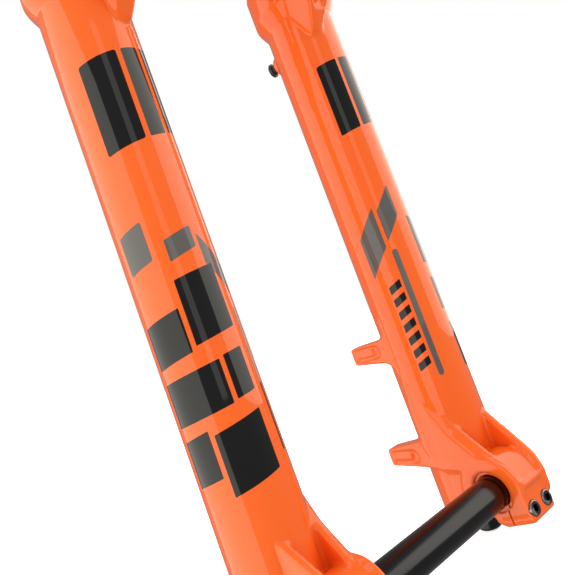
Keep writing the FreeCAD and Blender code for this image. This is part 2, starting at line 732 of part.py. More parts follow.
def damper():
    x, y = LEG_X, leg_y("right")
    bore, shaft, foot = D["stanchion_bore"], D["shaft_radius"], D["stanchion_foot"]
    tube, inside = D["damper_tube_radius"], D["damper_tube_bore"]
    slide = shaft + D["sliding_clearance"]
    rod = D["rod_radius"]
    top = D["stanchion_top"]
    ring("damper_tube", inside, tube, foot + 9, SPRING_TOP, x, y)
    turned("damper_seal_head", [
        (slide, foot + 3), (bore, foot + 3), (bore, foot + 9), (inside, foot + 9),
        (inside, foot + 26), (slide, foot + 26)], x, y)
    ring("damper_topout_bumper", shaft, shaft + 4.5, foot + 27, foot + 43, x, y)
    ring("damper_shaft", rod + 0.08, shaft, D["foot_level"] - 3, foot + 68, x, y)
    piston = inside - 0.35
    turned("rebound_piston", [
        (shaft, foot + 46), (piston, foot + 46), (piston, foot + 49), (piston - 1.2, foot + 49),
        (piston - 1.2, foot + 56), (piston, foot + 56), (piston, foot + 59), (shaft, foot + 59)],
        x, y)
    ring("piston_band", piston - 1.2, inside - 0.05, foot + 49, foot + 56, x, y)
    turned("rebound_shims", [
        (shaft, foot + 43), (shaft + 3, foot + 43), (shaft + 3, foot + 44), (shaft + 5, foot + 44),
        (shaft + 5, foot + 45), (shaft + 7, foot + 45), (shaft + 7, foot + 46), (shaft, foot + 46)],
        x, y)
    ring("piston_nut", shaft, shaft + 3.6, foot + 59, foot + 64, x, y, chamfer=0.6)
    knob_base = D["foot_nut_base"] + 0.2
    disc("rebound_rod", rod, knob_base + 6.4, foot + 60, x, y)
    knob = turned("rebound_knob", [
        (0, knob_base), (8.0, knob_base), (8.6, knob_base + 0.8), (8.6, knob_base + 6.4),
        (0, knob_base + 6.4)], x, y)
    flute(knob, "rebound_knob", 10.0, 2.0, 12, 60, knob_base.value + 3)
    stem = 4.0
    turned("base_valve", [
        (stem, 636), (inside, 636), (inside, 641), (inside - 4, 641), (inside - 4, 645),
        (inside, 645), (inside, 650), (stem, 650)], x, y)
    ring("compression_stem", rod, stem, 634.0, SPRING_TOP, x, y)
    ring("floating_piston", stem + D["sliding_clearance"], inside - D["sliding_clearance"],
         IFP_LEVEL, IFP_LEVEL + IFP_HEIGHT, x, y)
    floating_spring(x, y)
    turned("damper_top_cap", [
        (rod, SPRING_TOP), (bore, SPRING_TOP), (bore, top), (D["stanchion_radius"] + 0.6, top),
        (D["stanchion_radius"] + 0.6, top + 4.2), (D["stanchion_radius"] - 1, top + 5.8),
        (rod, top + 5.8)], x, y)
    high = turned("high_speed_knob", [
        (5.6, top + 6.1), (16.5, top + 6.1), (16.5, top + 11), (15.2, top + 12.4),
        (5.6, top + 12.4)], x, y)
    flute(high, "high_speed_knob", 18.2, 2.4, 18, 60, top.value + 9)
    low = turned("low_speed_knob", [
        (0, top + 6.1), (5.3, top + 6.1), (5.3, top + 12.7), (11.0, top + 12.7), (11.0, top + 18),
        (9.8, top + 19.4), (0, top + 19.4)], x, y)
    flute(low, "low_speed_knob", 12.4, 2.0, 12, 6.6, top.value + 16.2)


def floating_spring(x, y):
    """The light coil spring that presses the floating piston down."""
    coil_radius = 9.5
    base = IFP_LEVEL + IFP_HEIGHT + SPRING_WIRE
    height = SPRING_TOP - SPRING_WIRE - base
    helix = Part.makeHelix(height / SPRING_TURNS, height, coil_radius)
    section = Part.Wire(Part.makeCircle(SPRING_WIRE, Vector(coil_radius, 0, 0), Vector(0, 1, 0)))
    coil = Part.Wire(helix).makePipeShell([section], True, True)
    coil.translate(Vector(x.value, y.value, base))
    return shaped("floating_piston_spring", coil)


# ---------------------------------------------------------------- crowns and steerer


def crown_blank(base, height, clamp_height, front, rear, hub):
    """Two leg clamps, a steerer hub and the arms between them."""
    x, spacing, steerer = LEG_X.value, D["leg_half_spacing"].value, STEERER_X.value
    outline = [(x, spacing, 0), (rear, spacing, 0), (steerer - hub + 4, 24, 20), (steerer - hub, 0, 0),
               (steerer - hub + 4, -24, 20), (rear, -spacing, 0), (x, -spacing, 0),
               (front, -spacing + 8, 20), (steerer + hub, -24, 26), (steerer + hub, 24, 26),
               (front, spacing - 8, 20)]
    crown = prism(outline, "XY", base, base + height)
    crown = crown.fuse(cylinder(hub, Vector(steerer, 0, base), Vector(0, 0, 1), height))
    for sign in (1, -1):
        clamp = cylinder(D["clamp_radius"].value, Vector(x, sign * spacing, base), Vector(0, 0, 1),
                         clamp_height)
        crown = crown.fuse(clamp)
    return crown


def clamp_ears(base, height, sign):
    """The pair of ears behind a leg clamp."""
    x, spacing = LEG_X.value, D["leg_half_spacing"].value * sign
    outline = [(x - 10, spacing - 11, 0), (x - 36, spacing - 11, 4), (x - 36, spacing + 11, 4),
               (x - 10, spacing + 11, 0)]
    return prism(outline, "XY", base, base + height)


def clamp_cuts(base, height, levels, sign):
    """A clamp's bore, its slit and the holes for its bolts."""
    x, spacing = LEG_X.value, D["leg_half_spacing"].value * sign
    cuts = [
        cylinder(D["stanchion_radius"].value, Vector(x, spacing, base - 5), Vector(0, 0, 1), height + 10),
        Part.makeBox(40, 2, height + 10, Vector(x - 45, spacing - 1, base - 5)),
    ]
    for level in levels:
        cuts.append(cylinder(2.6, Vector(x - 30.5, spacing - 20, level), Vector(0, 1, 0), 40))
        outer = spacing + sign * 7.5
        cuts.append(cylinder(5.0, Vector(x - 30.5, outer, level), Vector(0, sign, 0), 10))
    return cuts


def clamp_bolts(levels):
    bolt = socket_bolt(2.5, 16.0, 4.25, 5.0, 4.0)
    bolts = []
    for sign in (1, -1):
        for level in levels:
            position = Vector(LEG_X.value - 30.5, sign * (D["leg_half_spacing"].value + 7.5), level)
            bolts.append(bolt_at(bolt, position, Vector(0, sign, 0)))
    return Part.makeCompound(bolts)


def lower_crown():
    base, height, clamp_height = values(
        "lower_crown_base", "lower_crown_height", "lower_clamp_height")
    levels = (base + 8, base + clamp_height - 8)
    crown = crown_blank(base, height, clamp_height, -14.0, -54.0, 26.0)
    for sign in (1, -1):
        crown = crown.fuse(clamp_ears(base, clamp_height, sign))
        relief = [(-62, sign * 30, 4), (-34, sign * 30, 4), (-26, sign * 48, 4), (-52, sign * 48, 4)]
        crown = crown.cut(prism(relief, "XY", base - 1, base + height - 7))
        for cut in clamp_cuts(base, clamp_height, levels, sign):
            crown = crown.cut(cut)
    steerer = cylinder(D["steerer_radius"].value, Vector(STEERER_X.value, 0, base - 5), Vector(0, 0, 1), 60)
    crown = crown.cut(steerer).removeSplitter()
    shaped("lower_crown", crown.Solids[0])
    shaped("lower_crown_bolts", clamp_bolts(levels))


STEM_CENTRE = -38.0
STEM_HALF_LENGTH = 15.0
STEM_HALF_WIDTH = 22.0
STEM_THREAD_RADIUS = 2.5


def upper_crown():
    base, height = values("upper_crown_base", "upper_crown_height")
    level = base + height / 2
    steerer = STEERER_X.value
    crown = crown_blank(base, height, height, -20.0, -50.0, 23.0)
    pad = [(STEM_CENTRE - 26, -31, 6), (STEM_CENTRE + 24, -31, 8), (STEM_CENTRE + 24, 31, 8),
           (STEM_CENTRE - 26, 31, 6)]
    crown = crown.fuse(prism(pad, "XY", base + 3, base + height))
    ears = [(steerer - 18, -11, 0), (steerer - 36, -11, 4), (steerer - 36, 11, 4), (steerer - 18, 11, 0)]
    crown = crown.fuse(prism(ears, "XY", base, base + height))
    crown = crown.cut(Part.makeBox(40, 2, height + 4, Vector(steerer - 45, -1, base - 2)))
    crown = crown.cut(cylinder(2.6, Vector(steerer - 28.5, -20, level), Vector(0, 1, 0), 40))
    crown = crown.cut(cylinder(5.0, Vector(steerer - 28.5, 7.5, level), Vector(0, 1, 0), 10))
    for sign in (1, -1):
        crown = crown.fuse(clamp_ears(base, height, sign))
        relief = [(-58, sign * 36, 4), (-36, sign * 36, 4), (-30, sign * 50, 4), (-50, sign * 50, 4)]
        crown = crown.cut(prism(relief, "XY", base - 1, base + height - 6))
        for cut in clamp_cuts(base, height, (level,), sign):
            crown = crown.cut(cut)
        for x in (STEM_CENTRE - STEM_HALF_LENGTH, STEM_CENTRE + STEM_HALF_LENGTH):
            start = Vector(x, sign * STEM_HALF_WIDTH, base - 2)
            crown = crown.cut(cylinder(STEM_THREAD_RADIUS, start, Vector(0, 0, 1), height + 4))
    bore = cylinder(D["steerer_radius"].value, Vector(steerer, 0, base - 5), Vector(0, 0, 1), 60)
    crown = crown.cut(bore).removeSplitter()
    shaped("upper_crown", crown.Solids[0])
    shaped("upper_crown_bolts", clamp_bolts((level,)))
    bolt = socket_bolt(2.5, 16.0, 4.25, 5.0, 4.0)
    shaped("steerer_clamp_bolt", bolt_at(bolt, Vector(steerer - 28.5, 7.5, level), Vector(0, 1, 0)))


def steerer_group():
    x, y = STEERER_X, Size.of(0)
    outer, bore = D["steerer_radius"], D["steerer_bore"]
    base = D["lower_crown_base"]
    race = base + D["lower_crown_height"]
    top = D["upper_crown_base"] + D["upper_crown_height"]
    ring("steerer_tube", bore, outer, base, top - 3, x, y)
    turned("crown_race", [
        (outer, race), (outer + 6.4, race), (outer + 6.4, race + 2.2), (outer + 2.6, race + 5.6),
        (outer, race + 5.6)], x, y)
    turned("star_nut", [
        (2.6, top - 30), (bore, top - 27.5), (bore, top - 26.7), (4.4, top - 28),
        (4.4, top - 20), (bore, top - 18.7), (bore, top - 17.9), (2.6, top - 18)], x, y)
    turned("steerer_cap", [
        (2.7, top), (16.8, top), (16.8, top + 3), (15.4, top + 5), (8, top + 5), (6.4, top + 3),
        (2.7, top + 3)], x, y)
    bolt = socket_bolt(2.5, 32.0, 4.9, 3.4, 4.0)
    position = Vector(x.value, 0, top.value + 3)
    shaped("steerer_cap_bolt", bolt_at(bolt, position, Vector(0, 0, 1)))


# ---------------------------------------------------------------- the whole fork


def build():
    lower_casting()
    axle()
    axle_pinch_bolts()
    foot_hardware()
    for side in SIDES:
        seals(side)
        bleed_button(side)
        stanchion(side)
        frame_bumper(side)
    air_spring()
    damper()
    lower_crown()
    upper_crown()
    steerer_group()
    DOC.recompute()


def check_document():
    """Stops on any failed object and on any piece without a valid solid."""
    for item in DOC.Objects:
        if "Invalid" in item.State or "Error" in item.State:
            raise RuntimeError(item.Label + " failed: " + str(item.State))
    for piece in PIECES:
        if piece.Shape.isNull() or not piece.Shape.isValid() or not piece.Shape.Solids:
            raise RuntimeError(piece.Label + " has no valid solid")


def export():
    os.makedirs("parts", exist_ok=True)
    for piece in PIECES:
        piece.Shape.exportStep(os.path.join("parts", piece.Label + ".step"))
        print("%-26s %2d solid(s) %10.1f mm3" % (
            piece.Label, len(piece.Shape.Solids), piece.Shape.Volume))


build()
check_document()
export()
print(len(PIECES), "pieces")
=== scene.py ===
"""Looks of a dual-crown suspension fork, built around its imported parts.

Lengths are metres. The origin is the axle's centre, +X is the front of the bike, +Y its left and +Z runs
up the legs. The lower casting is rebuilt as a smooth cast skin, the turned and milled parts get eased
edges, and every finish is worked out by shader nodes.
"""
import json
import logging
import math
from collections.abc import Iterable, Sequence
from dataclasses import dataclass, field
from enum import Enum
from functools import cached_property

import bmesh
import bpy
from bmesh.types import BMesh
from mathutils import Matrix, Quaternion, Vector

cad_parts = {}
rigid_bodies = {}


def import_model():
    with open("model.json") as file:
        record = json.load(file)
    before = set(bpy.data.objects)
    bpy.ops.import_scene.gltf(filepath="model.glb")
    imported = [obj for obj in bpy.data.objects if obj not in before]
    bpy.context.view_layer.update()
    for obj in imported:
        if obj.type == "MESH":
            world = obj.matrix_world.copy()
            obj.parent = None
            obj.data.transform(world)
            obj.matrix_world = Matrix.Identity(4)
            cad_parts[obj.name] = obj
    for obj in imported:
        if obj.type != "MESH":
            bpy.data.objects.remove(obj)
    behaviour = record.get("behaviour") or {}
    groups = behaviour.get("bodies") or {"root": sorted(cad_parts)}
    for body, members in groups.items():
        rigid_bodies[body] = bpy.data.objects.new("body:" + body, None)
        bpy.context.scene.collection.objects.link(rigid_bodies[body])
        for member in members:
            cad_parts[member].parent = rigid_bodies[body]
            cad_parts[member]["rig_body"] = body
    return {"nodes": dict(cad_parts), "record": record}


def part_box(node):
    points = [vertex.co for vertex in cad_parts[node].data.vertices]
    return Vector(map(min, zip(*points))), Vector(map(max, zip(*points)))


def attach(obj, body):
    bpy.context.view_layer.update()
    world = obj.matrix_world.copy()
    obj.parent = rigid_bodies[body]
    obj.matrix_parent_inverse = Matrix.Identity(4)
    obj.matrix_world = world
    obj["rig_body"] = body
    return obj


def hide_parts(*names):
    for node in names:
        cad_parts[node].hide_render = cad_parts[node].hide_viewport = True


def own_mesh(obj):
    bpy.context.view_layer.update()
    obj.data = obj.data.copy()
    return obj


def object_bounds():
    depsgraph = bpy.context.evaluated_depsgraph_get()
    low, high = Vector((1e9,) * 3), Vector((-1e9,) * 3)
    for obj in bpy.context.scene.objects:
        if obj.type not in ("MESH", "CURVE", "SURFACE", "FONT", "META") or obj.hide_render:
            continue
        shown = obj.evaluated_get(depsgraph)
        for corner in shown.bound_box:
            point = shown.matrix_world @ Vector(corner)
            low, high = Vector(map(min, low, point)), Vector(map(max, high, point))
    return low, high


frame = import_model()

LOG = logging.getLogger("fork")
CAD_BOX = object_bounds()
MILLIMETRE = 0.001

Colour = tuple[float, float, float]

UP = Vector((0, 0, 1))


# ---------------------------------------------------------------- shader sums


class Wire:
    """An output socket that shader sums can be written with."""

    def __init__(self, graph: "Graph", socket: bpy.types.NodeSocket) -> None:
        """Keeps one output of a node and the graph that it is in."""
        self.graph = graph
        self.socket = socket

    def _math(self, operation: str, first: "Wire | float", second: "Wire | float") -> "Wire":
        """Adds one Math node and returns its value."""
        return self.graph.node("Math", {"operation": operation}, {0: first, 1: second})

    def __add__(self, other: "Wire | float") -> "Wire":
        """The sum of two values."""
        return self._math("ADD", self, other)

    def __radd__(self, other: float) -> "Wire":
        """The sum of a number and this value."""
        return self._math("ADD", other, self)

    def __sub__(self, other: "Wire | float") -> "Wire":
        """This value less another."""
        return self._math("SUBTRACT", self, other)

    def __rsub__(self, other: float) -> "Wire":
        """A number less this value."""
        return self._math("SUBTRACT", other, self)

    def __mul__(self, other: "Wire | float") -> "Wire":
        """The product of two values."""
        return self._math("MULTIPLY", self, other)

    def __rmul__(self, other: float) -> "Wire":
        """The product of a number and this value."""
        return self._math("MULTIPLY", other, self)


class Graph:
    """A material's node tree, filled through one method."""

    def __init__(self, name: str) -> None:
        """Starts an empty tree for a material of that name."""
        self.material = bpy.data.materials.new(name)
        self.material.use_nodes = True
        self.tree = self.material.node_tree
        self.tree.nodes.clear()

    def node(self, kind: str, settings: dict | None = None, inputs: dict | None = None,
             output: int | str = 0) -> Wire:
        """Adds a node.

        Args:
            kind: The node's type, without its ShaderNode prefix.
            settings: The node's own properties; "stops" holds a ramp's (position, colour) pairs.
            inputs: Values or wires, by socket name or number.
            output: The output socket to return.

        Returns:
            The chosen output.
        """
        made = self.tree.nodes.new("ShaderNode" + kind)
        for name, value in (settings or {}).items():
            if name == "stops":
                self._set_stops(made.color_ramp, value)
            else:
                setattr(made, name, value)
        for key, value in (inputs or {}).items():
            if isinstance(value, Wire):
                self.tree.links.new(value.socket, made.inputs[key])
            else:
                made.inputs[key].default_value = value
        return Wire(self, made.outputs[output])

    @staticmethod
    def _set_stops(ramp: bpy.types.ColorRamp, stops: Sequence[tuple[float, Colour]]) -> None:
        """Gives a ramp its stops."""
        while len(ramp.elements) < len(stops):
            ramp.elements.new(1.0)
        for element, (position, colour) in zip(ramp.elements, stops):
            element.position = position
            element.color = (*colour, 1.0)

    @cached_property
    def place(self) -> Wire:
        """Where a point lies on the object, in metres."""
        return self.node("TexCoord", output="Object")

    def stretched(self, scale: Colour) -> Wire:
        """The place with each axis scaled."""
        return self.node("Mapping", {"vector_type": "POINT"}, {"Vector": self.place, "Scale": scale})

    def noise(self, scale: float, detail: float = 2.0, at: Wire | None = None) -> Wire:
        """A cloudy value about one half."""
        inputs = {"Vector": at or self.place, "Scale": scale, "Detail": detail}
        return self.node("TexNoise", {"noise_dimensions": "3D"}, inputs, "Fac")

    def cells(self, scale: float) -> Wire:
        """The distance to the nearest of many scattered points."""
        return self.node("TexVoronoi", {"feature": "F1"}, {"Vector": self.place, "Scale": scale}, "Distance")

    def blend(self, share: Wire, first: Colour, second: Colour) -> Wire:
        """A colour between two others."""
        inputs = {0: share, 6: (*first, 1.0), 7: (*second, 1.0)}
        return self.node("Mix", {"data_type": "RGBA", "clamp_factor": True}, inputs, 2)

    def bump(self, height: Wire, depth: float, strength: float = 1.0) -> Wire:
        """A normal from a height that stands for a depth in metres."""
        return self.node("Bump", {}, {"Height": height, "Distance": depth, "Strength": strength})

    def close(self, colour: Wire, roughness: Wire, normal: Wire, fixed: dict) -> bpy.types.Material:
        """Ends the tree in a principled shader.

        Args:
            colour: The base colour.
            roughness: The base roughness.
            normal: The bumped normal.
            fixed: The shader's constant sockets, by name.

        Returns:
            The finished material.
        """
        inputs = {"Base Color": colour, "Roughness": roughness, "Normal": normal, **fixed}
        surface = self.node("BsdfPrincipled", {}, inputs)
        end = self.tree.nodes.new("ShaderNodeOutputMaterial")
        self.tree.links.new(surface.socket, end.inputs["Surface"])
        return self.material


# ---------------------------------------------------------------- finishes


def shaded(colour: Colour, share: float, bloom: float = 0.0) -> Colour:
    """A colour with each channel scaled to a share of itself, after which a bloom is added."""
    return tuple(channel * share + bloom for channel in colour)


class Grain(Enum):
    """How a metal surface's fine marks run."""

    TURNED = "rings about an upright axis"
    CROSS_TURNED = "rings about the wheel's axle"
    BLASTED = "even in every direction"


@dataclass(frozen=True)
class GlossPaint:
    """Solid colour paint under a deep clear coat."""

    name: str
    colour: Colour
    roughness: float = 0.42
    coat_roughness: float = 0.035

    def material(self) -> bpy.types.Material:
        """The paint, with a faint orange peel and a slow drift in shade."""
        graph = Graph(self.name)
        drift = graph.noise(9.0, 3.0)
        pigment = graph.noise(2300.0, 2.0)
        colour = graph.blend(drift * 0.7 + pigment * 0.3, shaded(self.colour, 0.94), self.colour)
        roughness = self.roughness + 0.1 * graph.noise(45.0, 3.0)
        peel = graph.noise(520.0, 1.0) + 0.35 * graph.noise(1400.0, 1.0)
        fixed = {
            "Metallic": 0.0, "IOR": 1.5, "Coat Weight": 1.0, "Coat Roughness": self.coat_roughness,
            "Coat IOR": 1.5, "Specular IOR Level": 0.12,
        }
        return graph.close(colour, roughness, graph.bump(peel, 0.03 * MILLIMETRE, 0.35), fixed)


@dataclass(frozen=True)
class PrintedInk:
    """Ink printed on the paint, under the same clear coat."""

    name: str
    colour: Colour

    def material(self) -> bpy.types.Material:
        """The ink, with the fine dots and uneven cover of a screen print."""
        graph = Graph(self.name)
        cover = graph.noise(60.0, 3.0)
        dots = graph.cells(4200.0)
        colour = graph.blend(cover * 0.6 + dots * 0.4, self.colour, shaded(self.colour, 1.35, 0.001))
        roughness = 0.36 + 0.12 * cover
        fixed = {
            "Metallic": 0.0, "IOR": 1.5, "Coat Weight": 1.0, "Coat Roughness": 0.045,
            "Coat IOR": 1.5, "Specular IOR Level": 0.05,
        }
        return graph.close(colour, roughness, graph.bump(dots, 0.01 * MILLIMETRE, 0.3), fixed)


@dataclass(frozen=True)
class Metal:
    """A bare, plated or anodised metal."""

    name: str
    colour: Colour
    roughness: float
    grain: Grain = Grain.BLASTED
    depth: float = 0.004 * MILLIMETRE
    contrast: float = 0.88
    coat: float = 0.0

    def marks(self, graph: Graph) -> Wire:
        """The fine tool marks, as a value about one half."""
        along, across = 60.0, 5200.0
        if self.grain is Grain.TURNED:
            return graph.noise(1.0, 2.0, graph.stretched((along, along, across)))
        if self.grain is Grain.CROSS_TURNED:
            return graph.noise(1.0, 2.0, graph.stretched((along, across, along)))
        return graph.noise(2600.0, 3.0)

    def material(self) -> bpy.types.Material:
        """The metal, with its tool marks and a slow change of gloss where it has been handled."""
        graph = Graph(self.name)
        marks = self.marks(graph)
        handled = graph.noise(70.0, 4.0)
        colour = graph.blend(marks * 0.5 + handled * 0.5, shaded(self.colour, self.contrast), self.colour)
        roughness = self.roughness * 0.75 + self.roughness * (0.3 * marks + 0.25 * handled)
        fixed = {"Metallic": 1.0, "Coat Weight": self.coat, "Coat Roughness": 0.08}
        return graph.close(colour, roughness, graph.bump(marks, self.depth, 0.6), fixed)


@dataclass(frozen=True)
class Moulded:
    """A moulded rubber, plastic or foam."""

    name: str
    colour: Colour
    roughness: float
    scale: float = 1800.0
    depth: float = 0.02 * MILLIMETRE
    cellular: bool = False

    def material(self) -> bpy.types.Material:
        """The moulding, with the fine pitting of its tool and a little bloom."""
        graph = Graph(self.name)
        pits = graph.cells(self.scale) if self.cellular else graph.noise(self.scale, 3.0)
        bloom = graph.noise(55.0, 4.0)
        colour = graph.blend(bloom * 0.7 + pits * 0.3, self.colour, shaded(self.colour, 1.35, 0.006))
        roughness = self.roughness + 0.16 * (bloom - 0.5) + 0.06 * pits
        fixed = {"Metallic": 0.0, "IOR": 1.5, "Specular IOR Level": 0.45}
        return graph.close(colour, roughness, graph.bump(pits, self.depth, 0.7), fixed)


ORANGE = GlossPaint("orange_gloss_paint", (0.95, 0.132, 0.010))
BLACK_INK = PrintedInk("black_print", (0.0035, 0.0035, 0.004))
GREY_INK = PrintedInk("grey_print", (0.092, 0.086, 0.080))
SLOT_FINISHES = {
    "orange_paint": ORANGE,
    "gold_anodised": Metal("gold_hard_anodised", (0.56, 0.31, 0.10), 0.22, Grain.TURNED, coat=0.2),
    "black_anodised": Metal("black_gloss_anodised", (0.030, 0.030, 0.033), 0.22, Grain.BLASTED, coat=0.4),
    "blue_anodised": Metal("blue_satin_anodised", (0.03, 0.13, 0.55), 0.3, Grain.TURNED, coat=0.2),
    "red_anodised": Metal("red_satin_anodised", (0.60, 0.03, 0.02), 0.3, Grain.TURNED, coat=0.2),
    "black_steel": Metal("black_plated_steel", (0.075, 0.075, 0.08), 0.34, Grain.BLASTED, 0.01 * MILLIMETRE),
    "plated_steel": Metal("clear_plated_steel", (0.46, 0.46, 0.48), 0.3, Grain.BLASTED, 0.01 * MILLIMETRE),
    "bare_aluminium": Metal("turned_aluminium", (0.78, 0.79, 0.81), 0.26, Grain.TURNED),
    "bright_steel": Metal("ground_chrome", (0.86, 0.86, 0.88), 0.10, Grain.TURNED, 0.002 * MILLIMETRE),
    "seal_rubber": Moulded("seal_rubber", (0.016, 0.016, 0.017), 0.46),
    "bumper_rubber": Moulded("soft_elastomer", (0.085, 0.085, 0.09), 0.6, 900.0),
    "moulded_plastic": Moulded("moulded_nylon", (0.028, 0.028, 0.031), 0.38, 2400.0),
    "foam": Moulded("open_cell_foam", (0.12, 0.12, 0.115), 0.9, 1500.0, 0.3 * MILLIMETRE, True),
    "bushing_bronze": Metal("turned_bronze", (0.62, 0.38, 0.15), 0.32, Grain.TURNED),
    "crush_copper": Metal("soft_copper", (0.80, 0.38, 0.22), 0.35, Grain.TURNED),
}
AXLE_FINISH = Metal("black_ground_axle", (0.055, 0.053, 0.055), 0.2, Grain.CROSS_TURNED,
                    0.001 * MILLIMETRE, coat=0.2)
GREY_BUMPER = Moulded("crown_bumper_rubber", (0.02, 0.02, 0.021), 0.5, 1300.0)


class Palette:
    """Makes each finish's material once."""

    def __init__(self) -> None:
        """Starts with no materials made."""
        self.made: dict[str, bpy.types.Material] = {}

    def add(self, piece: bpy.types.Object, finish: GlossPaint | PrintedInk | Metal | Moulded) -> None:
        """Gives a piece one more finish."""
        if finish.name not in self.made:
            self.made[finish.name] = finish.material()
        piece.data.materials.append(self.made[finish.name])

    def dress(self, piece: bpy.types.Object, finish: GlossPaint | PrintedInk | Metal | Moulded) -> None:
        """Gives a piece one finish, in place of any material that it has."""
        piece.data.materials.clear()
        self.add(piece, finish)


# ---------------------------------------------------------------- mesh tools


def new_piece(name: str, mesh: BMesh, sharp_above: float = 32.0) -> bpy.types.Object:
    """Turns a bmesh into an object at the origin.

    Args:
        name: The piece's name.
        mesh: The finished mesh, which is freed.
        sharp_above: Edges that turn more than this many degrees stay sharp.

    Returns:
        The linked object.
    """
    data = bpy.data.meshes.new(name)
    mesh.to_mesh(data)
    mesh.free()
    data.shade_smooth()
    data.set_sharp_from_angle(angle=math.radians(sharp_above))
    piece = bpy.data.objects.new(name, data)
    bpy.context.scene.collection.objects.link(piece)
    return piece


def drop(piece: bpy.types.Object) -> None:
    """Removes a helper object and its mesh."""
    data = piece.data
    bpy.data.objects.remove(piece)
    bpy.data.meshes.remove(data)


def applied(piece: bpy.types.Object) -> BMesh:
    """Takes a helper object's mesh after its modifiers.

    Args:
        piece: The helper object, which is removed.

    Returns:
        The mesh.
    """
    graph = bpy.context.evaluated_depsgraph_get()
    data = bpy.data.meshes.new_from_object(piece.evaluated_get(graph))
    mesh = bmesh.new()
    mesh.from_mesh(data)
    bpy.data.meshes.remove(data)
    drop(piece)
    return mesh


def pour(source: BMesh, target: BMesh) -> None:
    """Adds one mesh to another.

    Args:
        source: The mesh to add, which is freed.
        target: The mesh to add it to.
    """
    data = bpy.data.meshes.new("poured")
    source.to_mesh(data)
    source.free()
    target.from_mesh(data)
    bpy.data.meshes.remove(data)


def merged_copy(node: str) -> BMesh:
    """Copies a CAD node's mesh and joins its loose triangles.

    Args:
        node: The node's name.

    Returns:
        The joined copy.
    """
    mesh = bmesh.new()
    mesh.from_mesh(frame["nodes"][node].data)
    bmesh.ops.remove_doubles(mesh, verts=mesh.verts, dist=0.001 * MILLIMETRE)
    return mesh


def keep_side(mesh: BMesh, point: Vector, normal: Vector) -> None:
    """Cuts a closed mesh by a plane and closes the cut.

    Args:
        mesh: The mesh to cut.
        point: A point on the plane.
        normal: The plane's normal; what lies along it is dropped.
    """
    geometry = [*mesh.verts, *mesh.edges, *mesh.faces]
    bmesh.ops.bisect_plane(mesh, geom=geometry, dist=1e-7, plane_co=point, plane_no=normal, clear_outer=True)
    rim = [edge for edge in mesh.edges if edge.is_boundary]
    bmesh.ops.triangle_fill(mesh, use_beauty=True, edges=rim, normal=normal)


def add_cylinder(mesh: BMesh, radius: float, start: Vector, end: Vector, segments: int = 128) -> None:
    """Adds a closed cylinder to a mesh.

    Args:
        mesh: The mesh to add to.
        radius: The cylinder's radius.
        start: The middle of its first end.
        end: The middle of its other end.
        segments: How many flats it has.
    """
    along = end - start
    turn = UP.rotation_difference(along).to_matrix().to_4x4()
    matrix = Matrix.Translation((start + end) / 2) @ turn
    bmesh.ops.create_cone(mesh, cap_ends=True, segments=segments, radius1=radius, radius2=radius,
                          depth=along.length, matrix=matrix)


def add_block(mesh: BMesh, low: Vector, high: Vector) -> None:
    """Adds a closed block between two corners."""
    matrix = Matrix.Translation((low + high) / 2) @ Matrix.Diagonal((*(high - low), 1.0))
    bmesh.ops.create_cube(mesh, size=1.0, matrix=matrix)


def cast_skin(blank: BMesh, voxel: float, passes: int) -> BMesh:
    """Gives a blank of overlapping solids one skin with blended corners, as a casting has.

    Args:
        blank: The closed solids, which are freed.
        voxel: The size of the new faces.
        passes: How many times the skin is smoothed.

    Returns:
        The skin.
    """
    rough = new_piece("blank", blank)
    remesh = rough.modifiers.new("skin", "REMESH")
    remesh.mode = "VOXEL"
    remesh.voxel_size = voxel
    skin = applied(rough)
    for _ in range(passes):
        bmesh.ops.smooth_vert(skin, verts=skin.verts, factor=0.5, use_axis_x=True, use_axis_y=True,
                              use_axis_z=True)
    return skin


def smooth_step(value: float, low: float, high: float) -> float:
    """Zero below low, one above high, and a smooth rise between."""
    share = min(1.0, max(0.0, (value - low) / (high - low)))
    return share * share * (3 - 2 * share)


def true_up(mesh: BMesh, axis: Vector, radius: float, low: float, high: float) -> None:
    """Brings the skin of an upright round leg back to its exact radius.

    Args:
        mesh: The skin.
        axis: A point on the leg's centre line.
        radius: The leg's radius.
        low: The height to start from.
        high: The height to end at.
    """
    near, far = 0.12 * MILLIMETRE, 0.5 * MILLIMETRE
    for vert in mesh.verts:
        if not low < vert.co.z < high:
            continue
        reach = (vert.co - axis).xy
        error = radius - reach.length
        if abs(error) < far:
            share = 1 - smooth_step(abs(error), near, far)
            vert.co.xy += reach.normalized() * error * share


def cut(mesh: BMesh, cutters: Iterable[BMesh]) -> BMesh:
    """Cuts closed solids out of a mesh, one after the other.

    Args:
        mesh: The mesh to cut, which is freed.
        cutters: The solids, which are freed.

    Returns:
        What is left.
    """
    body = new_piece("body", mesh)
    tools = []
    for number, cutter in enumerate(cutters):
        tool = new_piece(f"cutter_{number}", cutter)
        tools.append(tool)
        difference = body.modifiers.new(f"cut_{number}", "BOOLEAN")
        difference.operation = "DIFFERENCE"
        difference.solver = "MANIFOLD"
        difference.object = tool
    result = applied(body)
    for tool in tools:
        drop(tool)
    return result


def bore(radius: float, start: Vector, end: Vector) -> BMesh:
    """A cutter for a round hole."""
    mesh = bmesh.new()
    add_cylinder(mesh, radius, start, end)
    return mesh


def screw_hole(radius: float, face: Vector, depth: float) -> BMesh:
    """A cutter for a screw hole that runs forwards from a rearward face."""
    ahead = Vector((1, 0, 0))
    return bore(radius, face - ahead * MILLIMETRE, face + ahead * depth)


